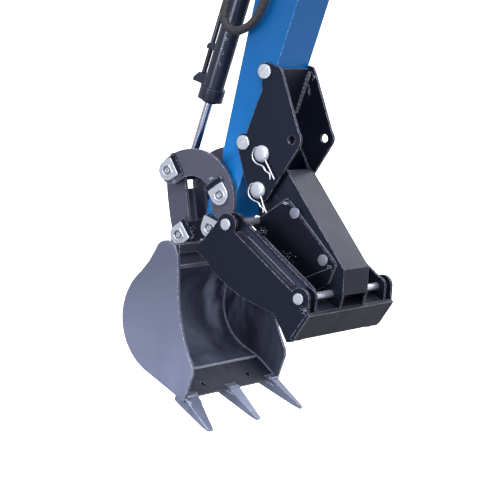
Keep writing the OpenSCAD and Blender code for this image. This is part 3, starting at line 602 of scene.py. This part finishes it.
def both(shape):
    """A shape on the left side and its mirror image on the right, as one."""
    return joined([shape, mirrored(shape)])

# %% Retainers and keeper bars
washer = np.vstack([arc_of(0.024, 90, 270, 41), arc_of(0.004, 270, 360, 7) + [0.020, -0.020],
                    arc_of(0.004, 0, 90, 7) + [0.020, 0.020]])
flats = arc_of(0.0065, 0, 300, 6)
hexagon = np.vstack([np.linspace(a, b, 5)[:-1] for a, b in zip(flats, np.roll(flats, -1, axis=0))])
bar_from_pin, bar, short_bar = 0.0243, (0.013, 0.052), (0.006, 0.034)


def retainer(pin, angle, face):
    """The washer from its back face up: a chamfer, a flat, a raised ring and a 10 mm recess.

    The bolt in the recess is a hexagon with a dimple. Every height is measured from the plate's face.
    """
    plate = stacked_rings(pin, angle, washer, [
        ("in", 0.0006, face + 0.0003), ("in", 0, face + 0.001), ("in", 0, face + 0.0042),
        ("in", 0.0012, face + 0.0053), ("round", 0.0156, face + 0.0053), ("round", 0.0148, face + 0.006),
        ("round", 0.0122, face + 0.006), ("round", 0.0103, face + 0.0046), ("round", 0.0100, face + 0.0016)])
    bolt = stacked_rings(pin, angle, hexagon, [
        ("in", 0, face + 0.0018), ("in", 0, face + 0.0046), ("round", 0.0054, face + 0.0054),
        ("round", 0.0030, face + 0.0054), ("round", 0.0026, face + 0.0042)])
    return joined([plate, bolt])


def keeper_bar(pin, angle, face, wide, long):
    """A chamfered bar across the retainer's straight side, as four rings of its outline."""
    x, z = side_view(pin, angle, bar_from_pin + wide / 2, 0)
    return stacked_rings([x, 0, z], angle, bar_outline(wide / 2, long / 2), [
        ("in", 0.0008, face), ("in", 0, face + 0.0008), ("in", 0, face + 0.0040),
        ("in", 0.0011, face + 0.005)])


held_pins = {
    "rocker": [(rod_pin, 151, rocker_face, *bar), (rocker_pin, 58, rocker_face, *bar)],
    "bucket": [(link_pin, 147, ear_face, *bar), (bucket_pin, 111, ear_face, *short_bar)],
}
for body, pins in held_pins.items():
    washers = joined([both(retainer(*pin[:3])) for pin in pins])
    plates = new_piece(body + "_pin_retainers", washers, body, zinc_plate, smooth=False)
    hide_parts(body + "_retainers")
    bars = joined([both(keeper_bar(*pin)) for pin in pins])
    new_piece(body + "_keeper_bars", bars, body, black_powder, smooth=False)
    print(body, "retainers:", 2 * len(pins))

# %% [markdown]
# ## Weld beads
# A bead freezes in overlapping drops, so its height swells about every three millimetres, and it
# starts and ends in a rounded crater. A few slow sine waves keep it from looking turned on a lathe.
# The keeper bars beside the retainers are welded across both their ends, and those beads shine.

# %% Weld beads
def bead(knots, radius, drop=0.0034):
    """A tube whose radius swells by |sin| once per drop, wanders by a slow sine and closes at both ends."""
    path = smooth_path(knots, drop / 4)
    t = np.linspace(0, 1, len(path))
    s = t * (len(path) - 1) * drop / 4
    swell = 0.84 + 0.24 * np.abs(np.sin(np.pi * s / drop)) + 0.08 * np.sin(2.1 * s / drop)
    ends = np.clip(1 - np.abs(2 * t - 1) ** 12, 0.05, 1) ** 0.5
    return tube(path, radius * swell * ends, 8)


def keeper_welds(pin, angle, face, wide, long):
    """One short bead across each end of a keeper bar, 1 mm off the end and 1.5 mm above the plate."""
    across, welds = bar_from_pin + np.array([0.1, 0.5, 0.9]) * wide, []
    for side in (-1, 1):
        x, z = side_view(pin, angle, across, np.full(3, side * (long / 2 + 0.001)))
        welds.append(bead(np.column_stack([x, np.full(3, face + 0.0015), z]), 0.0034))
    return welds


for body, pins in held_pins.items():
    welds = joined([both(weld) for pin in pins for weld in keeper_welds(*pin)])
    new_piece(body + "_keeper_welds", welds, body, weld_metal)
    print(body, "keeper welds:", 4 * len(pins))

# %% [markdown]
# The plates of the thumb meet at right angles, so each seam has a bead in its corner. Their places
# are given in the side view, in millimetres from the bucket's pivot, as on a drawing, with the
# distance from the middle plane. Every seam is there on both sides.

# %% Seams of the thumb
drawing_zero = bucket_pin * [1, 0, 1]


def seam(places, y, radius=0.003):
    """A bead along places [x, z] of the drawing, y mm to the left of the middle plane."""
    places = np.asarray(places, float)
    drawn = np.column_stack([places[:, 0], np.full(len(places), y), places[:, 1]])
    return bead(drawing_zero + drawn / 1000, radius)


flange, tine_in, jaw_half = 55.0, 149.0, 187.0
jaw_top, jaw_end = np.array([-127.5, 21.0]), np.array([-323.5, -138.0])
jaw_run = (jaw_end - jaw_top) / np.linalg.norm(jaw_end - jaw_top)
jaw_up = np.array([jaw_run[1], -jaw_run[0]])


def on_jaw(along, above):
    """A place by its distance along the jaw from its upper rod, and above the line of both rods, in mm."""
    return jaw_top + along * jaw_run + above * jaw_up


thumb_seams = [
    seam([on_jaw(-6, -16), [-199, 70], [-213, 72]], flange + 2),
    seam([[-213, 72], [-342, -70]], flange + 1.5),
    seam([[-342, -70], on_jaw(236, 14)], flange + 1.5),
    seam([on_jaw(34, -16.5), on_jaw(222, -16.5)], flange + 7.5),
    seam([[-160, -28], [-205, -68], [-250, -106]], flange + 7.2, 0.0042),
    seam([[-252, -108], [-290, -93], [-330, -77]], flange + 6.4, 0.0018),
    seam([on_jaw(34, -16.5), on_jaw(248, -16.5)], tine_in - 1.5),
    seam([[-350.5, -174], [-309, -231]], jaw_half - 1.0, 0.0025),
    seam([on_jaw(46, 3), on_jaw(214, 3)], tine_in + 10),
]
new_piece("thumb_weld_seams", joined([both(one) for one in thumb_seams]), "thumb", weld_metal)

# The cross plate stands on the arm's back. Its seam runs down the corner between its rear face and
# the bracket plates, as one fat bead with a thin run of weld metal on each side of it.
cross_low, cross_high = corners("bracket_cross_plate")
cross_ends = np.array([[cross_low[0], cross_high[2]], [cross_high[0], cross_low[2]]])
cross_top, cross_foot = (cross_ends - bucket_pin[[0, 2]]) * 1000
cross_run = np.linspace(cross_top + [1.5, -5], cross_foot + [-8.5, 4], 9)
bracket_seams = [seam(cross_run, 65.5, 0.0058), seam(cross_run + [-5.5, 0], 66.2, 0.0018),
                 seam(cross_run + [1.5, 0], 59.0, 0.0016)]
new_piece("bracket_weld_seams", joined([both(one) for one in bracket_seams]), "dipper", weld_metal)
print("thumb seams:", len(thumb_seams), "bracket seams:", len(bracket_seams))

# %% [markdown]
# The bucket's seams are fatter. A bead follows the shell inside both side plates, one runs across
# the floor where the lip begins, and the ears and teeth are welded all round. The shell is an arc
# about one centre, so its seam is the same arc drawn a little smaller.

# %% Seams of the bucket
shell_centre, inside_side, ear_corner = [19, -210], 190.5, 70.5
shell_arc = arc_of(120.5, 95, -59.6, 40) + shell_centre
shell_seam = seam(np.vstack([shell_arc, [[38, -337.5], [10, -361], [-13, -381]]]), inside_side, 0.0034)
ear_seam = seam(arc_of(131.0, 84, 46, 20) + shell_centre, ear_corner, 0.0032)
ear_top_seam = seam([[15, -29.5], [27, -29.5]], ear_corner - 0.5, 0.003)
new_piece("bucket_weld_seams", joined([both(shell_seam), both(ear_seam), both(ear_top_seam)]), "bucket",
          scraped_bead_painted_light)


def cross_seam(x, z, y_from, y_to, radius):
    """A straight bead from one side to the other, at a place [x, z] of the drawing."""
    y = np.linspace(y_from, y_to, 9)
    drawn = np.column_stack([np.full(len(y), x), y, np.full(len(y), z)])
    return bead(drawing_zero + drawn / 1000, radius)


tooth_flank = np.array([[10, 24, -372], [-4, 23.5, -385], [-22, 21, -394], [-34, 19, -401]])
tooth_rows, tooth_half, tooth_beads = (-172.0, 0.0, 172.0), 19, []
for y in tooth_rows:
    tooth_beads.append(cross_seam(-21.5, -384.5, y - tooth_half, y + tooth_half, 0.0036))
    for side in (-1, 1):
        tooth_beads.append(bead(drawing_zero + (tooth_flank * [1, side, 1] + [0, y, 0]) / 1000, 0.0034))
lip_seam = cross_seam(37.5, -335.5, 1.5 - inside_side, inside_side - 1.5, 0.0042)
new_piece("lip_and_tooth_welds", joined([lip_seam] + tooth_beads), "bucket", scraped_bead_painted_light)
print("bucket seams:", 7 + len(tooth_beads))

# %% [markdown]
# ## Weld spatter
# Drops fly off while a seam is welded, freeze on the plate beside it and stay bright under the thin
# paint. Each is a flattened dome a millimetre or two wide. A scatter over the whole plate would look
# like dirt, so each seam has its own spot with its own spread. Their places come from a seeded
# random generator, so every run is the same, and each drop stays where its flight meets the plate.

# %% Spatter
drops = np.random.default_rng(7)
dome_sides, stand_off, flight = 6, 3, 0.009
dome_turn = np.arange(dome_sides) * 2 * np.pi / dome_sides
dome = np.vstack([np.column_stack([np.cos(dome_turn) * r, np.full(dome_sides, h), np.sin(dome_turn) * r])
                  for r, h in ((1.0, -0.3), (0.86, 0.35), (0.45, 0.7))])
dome_faces = ring_faces(3, dome_sides, turned=True)


def surface_of(node):
    """A search tree over a node's triangles, in metres from the origin: each point is turned, then moved."""
    mesh = frame["nodes"][node].data
    mesh.calc_loop_triangles()
    place = np.empty(len(mesh.vertices) * 3)
    corner = np.empty(len(mesh.loop_triangles) * 3, dtype=np.int32)
    mesh.vertices.foreach_get("co", place)
    mesh.loop_triangles.foreach_get("vertices", corner)
    turn = np.array(frame["nodes"][node].matrix_world)
    place = place.reshape(-1, 3) @ turn[:3, :3].T + turn[:3, 3]
    return BVHTree.FromPolygons(place.tolist(), corner.reshape(-1, 3).tolist())


def spatter(node, x, z, y, wide, tall, count, inward=-1):
    """Domes round a place, spread by a normal law in mm. Each flies sideways until it lands on the node.

    y is the plate's face in mm. inward is -1 for a face that looks left and 1 for one that looks right.
    A drop that misses the node is left out, so nothing floats beside an edge.
    """
    tree, shapes = surface_of(node), []
    spread = drops.normal(0, 1, (count, 2)) * [wide, tall]
    for (u, v), size in zip(spread, drops.uniform(0.5, 1.3, count)):
        start = drawing_zero + np.array([x + u, y - stand_off * inward, z + v]) / 1000
        landed = tree.ray_cast(start.tolist(), (0, inward, 0), flight)[0]
        if landed is not None:
            shapes.append((dome * size / 1000 * [-inward, -inward, 1] + np.array(landed), dome_faces))
    return shapes


spots = {
    "rocker": [("rocker_plate_left", 100, 157, 86, 3, 3, 9), ("rocker_plate_left", 92, 108, 86, 4, 3, 16),
               ("rocker_plate_left", -15, 118, 86, 5, 3, 18), ("rocker_plate_left", -34, 108, 86, 7, 3, 16)],
    "bucket": [("bucket_ear_left", 52, -8, 69, 6, 6, 16), ("bucket_ear_left", 60, -40, 69, 8, 8, 18),
               ("bucket_ear_left", 34, -36, 69, 9, 3, 16)],
    "thumb": [("thumb_gussets", -204, 66, 61, 5, 2.5, 40), ("thumb_gussets", -138, -1, 61, 9, 5, 40),
              ("thumb_gussets", -214, -60, 61, 8, 8, 14), ("thumb_gussets", -328, -77, 61, 4, 3, 14),
              ("tine_left", -120, 10, 187, 5, 5, 10), ("tine_left", -337, -162, 187, 5, 4, 26)],
    "cylinder_body": [("barrel", -14, 445, 23, 1.5, 5, 10), ("barrel", -4, 418, 23, 1.5, 8, 16),
                      ("barrel", 5, 392, 23, 1.5, 6, 12)],
    "dipper": [("bracket_plate_left", -202, 352, 67, 2, 5, 20, 1),
               ("bracket_plate_left", -188, 318, 67, 2, 7, 20, 1)],
}
for body, places in spots.items():
    landed = [spatter(*place) for place in places]
    left_side = joined([drop for group in landed for drop in group])
    new_piece(body + "_weld_spatter", both(left_side), body, spatter_metal)
    print(body, "spatter drops on each side:", [len(group) for group in landed])

# %% [markdown]
# ## The jaw's floor
# Behind the tip plate a strip of seven millimetre plate closes the jaw's underside between the two
# tines. A stretched box would have razor edges. The stacked rings of the retainers make it from its
# side view instead, with a small chamfer round both ends.

# %% Jaw floor
def slab(outline, y_low, y_high, chamfer=0.0008):
    """A flat plate in side view: an outline in mm from the bucket's pivot, from one distance to another."""
    outline = np.asarray(outline, float) / 1000
    middle_point = outline.mean(axis=0)
    centre = drawing_zero + np.array([middle_point[0], 0, middle_point[1]])
    y_low, y_high = y_low / 1000, y_high / 1000
    return stacked_rings(centre, 0, outline - middle_point, [
        ("in", chamfer, y_low), ("in", 0, y_low + chamfer), ("in", 0, y_high - chamfer),
        ("in", chamfer, y_high)])


strip_thick, strip_down = 7.0, np.array([0.517, -0.856])
strip_back, strip_front = on_jaw(255, -19), np.array([-350.0, -175.0])
below = strip_thick * strip_down
strip = slab([strip_back, strip_front, strip_front + below, strip_back + below], -tine_in, tine_in)
new_piece("jaw_floor_strip", strip, "thumb", black_powder, smooth=False)
print("floor strip from", strip_back.round(1), "to", strip_front)

# %% [markdown]
# ## Spring clips on the thumb's pins
# Each thumb pin is held by a bent wire: a straight leg goes through the pin's head, and the rest of
# the wire comes out on the far side, hugs the head and snaps over the leg. A curve object with a
# round bevel would do, but a swept ring keeps all the wires in the one mesh function above. The wire
# is four millimetres thick. Its bend is drawn from a few points, as (x, z) round the pin in mm.

# %% Spring clips
clip_wire, tail_height, tail_root = 0.0021, -0.0295, np.array([-0.009, -0.026])
behind_face, over_leg, crossing = 0.0034, 0.0012, 12
clip_bend = np.array([
    [-36.7, -58.3], [-24.0, -36.0], [-12.1, -15.0], [-2.5, 2.0], [6.0, 11.0], [13.0, 14.0],
    [18.5, 10.5], [22.2, 3.0], [23.6, -5.0], [21.8, -13.0], [16.0, -19.8], [8.0, -24.4],
    [0.0, -26.4], [-6.5, -29.6], [-10.2, -34.4], [-14.2, -39.8], [-22.6, -44.4], [-25.8, -50.6],
    [-25.8, -58.8],
]) / 1000


def spring_clip(pin, head_face, turn, tail):
    """The bend turned about its pin: x cos a - z sin a and x sin a + z cos a, just behind the head's face.

    tail scales the free ends towards the head. Past the crossing the wire is lifted over its own leg.
    """
    free = clip_bend[:, 1:] < tail_height
    local = np.where(free, tail * clip_bend + (1 - tail) * tail_root, clip_bend)
    x, z = side_view([0, 0, 0], turn, local[:, 0], local[:, 1])
    lift = np.where(np.arange(len(local)) > crossing, over_leg, 0.0) + head_face - behind_face
    path = smooth_path(np.column_stack([pin[0] + x, lift, pin[2] + z]), 0.0018)
    return tube(path, clip_wire, 10, hint=(0, 1, 0))


for name, pin, node, body, turn, tail in (
        ("spring_clips_pivot", thumb_pin, "thumb_pivot_pin", "dipper", 0, 1.0),
        ("spring_clips_lock", lock_pin, "lock_pin", "thumb", 4, 0.75)):
    clip = spring_clip(pin, corners(node)[1][1], turn, tail)
    new_piece(name, both(clip), body, zinc_plate)
    print(name, "wire", clip_wire * 2000, "mm")

# %% [markdown]
# ## The hose
# The hose is rubber in a woven sleeve. It hangs from the cylinder's base port in one loop and climbs
# the arm's side to a clamp. The sleeve's threads follow the piece's own UV map, because the pattern
# has to bend with the hose. A real thread is half a millimetre thick, which is too fine to show at
# this distance, so the weave is drawn at three millimetres. The sleeve is looser than the hose, so
# it ruffles: its radius swells and shrinks by half a millimetre, in groups.

# %% Woven hose sleeve
# Woven polyester: a soft black with a faint sheen. The lighter crests of its threads are a painted highlight.
woven_sleeve, tree, shader = new_material("woven_polyester_hose_sleeve", Roughness=0.5, Sheen_Weight=0.08)
hose_uv = add(tree, "UVMap", {"uv_map": "along"})
threads_round, threads_per_metre, one_band = 20.0, 330.0, 0.314
threads = []
for slant in (1, -1):
    spread_out = add(tree, "Mapping", {"Scale": (threads_round, slant * threads_per_metre, 1.0)},
                     {"Vector": (hose_uv, 0)})
    threads.append(add(tree, "TexWave",
                       {"wave_type": "BANDS", "bands_direction": "DIAGONAL", "Scale": one_band},
                       {"Vector": (spread_out, 0)}))
weave = add(tree, "Math", {"operation": "MULTIPLY"}, {0: (threads[0], 1), 1: (threads[1], 1)})
sleeve_tone_lit_crests = add(tree, "Mix", {"data_type": "RGBA", 6: linear("#07070b"), 7: linear("#2b2a36")},
                  {0: (weave, 0)})
sleeve_bump = add(tree, "Bump", {"Strength": 0.8, "Distance": 0.0006}, {"Height": (weave, 0)})
tree.links.new(sleeve_tone_lit_crests.outputs[2], shader.inputs["Base Color"])
tree.links.new(sleeve_bump.outputs[0], shader.inputs["Normal"])
print("threads", round(1000 / threads_per_metre, 1), "mm apart along the hose")

# %% Hose
hose_knots = np.array([
    [221, 46, -196], [226, 51, -224], [234, 60, -260], [245, 73, -302], [256, 85, -344], [262, 91, -378],
    [260, 92, -401], [247, 92, -415], [226, 92, -420], [205, 92, -414], [184, 92, -401], [165, 92, -377],
    [151, 92, -346], [142, 92, -308], [133, 92, -266], [127, 92, -224], [127, 92, -190],
]) / 1000
hose_sides, hose_radius, ruffle = 24, 0.010, 0.0005
hose_path = smooth_path(hose_knots, 0.003)
hose_run = length_so_far(hose_path)
hose_length = float(hose_run[-1])
along = np.linspace(0, hose_length, len(hose_path))
ruffled = hose_radius + ruffle * np.sin(2 * np.pi * along / 0.013) * np.sin(2 * np.pi * along / 0.061)
turn_and_run = np.stack([np.tile(np.arange(hose_sides) / hose_sides, len(hose_path)),
                         np.repeat(hose_run, hose_sides)], axis=1)
hose = new_piece("hose_in_woven_sleeve", tube(hose_path, ruffled, hose_sides), "dipper", woven_sleeve,
                 uv=turn_and_run)
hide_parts("hose")
print("hose length", round(hose_length, 3), "m")

# %% [markdown]
# ## Studio paper and light
# A catalogue picture stands on white paper that curves up behind the object, so that no horizon
# shows. Big soft boxes give metal something broad and bright to mirror. The air around them is
# bright above and darker below, so that faces that look down stay calm. The paper is seen by the
# camera alone, because light thrown up from it would wash out the undersides.

# %% Floor and backdrop
def sweep_paper(near, far, height, bend, count=40):
    """A floor that turns up into a wall: straight, then a quarter circle of radius bend, then straight."""
    angle = np.linspace(0, np.pi / 2, count)
    run = np.concatenate([[-near], far + bend * np.sin(angle), [far + bend]])
    rise = np.concatenate([[0], bend * (1 - np.cos(angle)), [height]])
    return run, rise


floor_z, paper_half_width = -1.48, 7.0
run, rise = sweep_paper(7.0, 1.5, 7.0, 2.0)
ahead = np.array([look_at[0], look_at[1], 0.0]) / np.hypot(look_at[0], look_at[1])
aside = paper_half_width * np.array([-ahead[1], ahead[0], 0.0])
profile = run[:, None] * ahead + np.column_stack([np.zeros((len(run), 2)), floor_z + rise])
points = np.concatenate([profile - aside, profile + aside])
count = len(run)
faces = [[i, count + i, count + i + 1, i + 1] for i in range(count - 1)]
# Matt paper with a faint glow of its own, so that it burns out to white as an overlit backdrop does.
paper = new_material("white_studio_paper", Base_Color=linear("#fdfdfd"), Roughness=0.9,
                     Emission_Color=linear("#ffffff"), Emission_Strength=0.75)[0]
mesh = bpy.data.meshes.new("studio_paper")
mesh.from_pydata(points.tolist(), [], faces)
mesh.polygons.foreach_set("use_smooth", np.full(len(mesh.polygons), True))
mesh.materials.append(paper)
studio_paper = bpy.data.objects.new("studio_paper", mesh)
bpy.context.scene.collection.objects.link(studio_paper)
studio_paper.visible_diffuse = studio_paper.visible_glossy = False
print("paper at", floor_z, "m")

# %% World and soft boxes
world = bpy.data.worlds.new("studio_air")
world.use_nodes = True
air = world.node_tree
toward = add(air, "TexCoord")
height = add(air, "VectorMath", {"operation": "DOT_PRODUCT", 1: (-0.42, 0.1, 0.9)},
             {0: (toward, "Generated")})
glow = add(air, "MapRange", {"From Min": -0.6, "From Max": 0.9, "To Min": 0.45, "To Max": 1.5},
           {"Value": (height, "Value")})
air.nodes["Background"].inputs["Color"].default_value = linear("#f4f7ff")
air.links.new(glow.outputs[0], air.nodes["Background"].inputs["Strength"])
bpy.context.scene.world = world


def soft_box(name, place, target, size, power):
    """A square area light at a place, turned to face a target."""
    light = bpy.data.lights.new(name, "AREA")
    light.shape, light.size, light.energy = "SQUARE", size, power
    lamp = bpy.data.objects.new(name, light)
    bpy.context.scene.collection.objects.link(lamp)
    aim(lamp, place, np.asarray(target, float) - np.asarray(place, float))


soft_box("key_soft_box", (-1.6, 2.0, 1.2), (0.2, 0, -0.9), 1.2, 33)
soft_box("top_soft_box", (-1.0, 0.2, 1.6), (0.1, 0, -0.9), 1.4, 40)
soft_box("low_soft_box", (0.5, 3.0, -0.5), (0.2, 0, -0.7), 1.0, 38)
soft_box("back_soft_box", (-1.1, -2.2, 0.9), (0.0, 0, -0.8), 1.8, 26)
bpy.context.scene.view_settings.view_transform = "Standard"
print("soft boxes: 4")
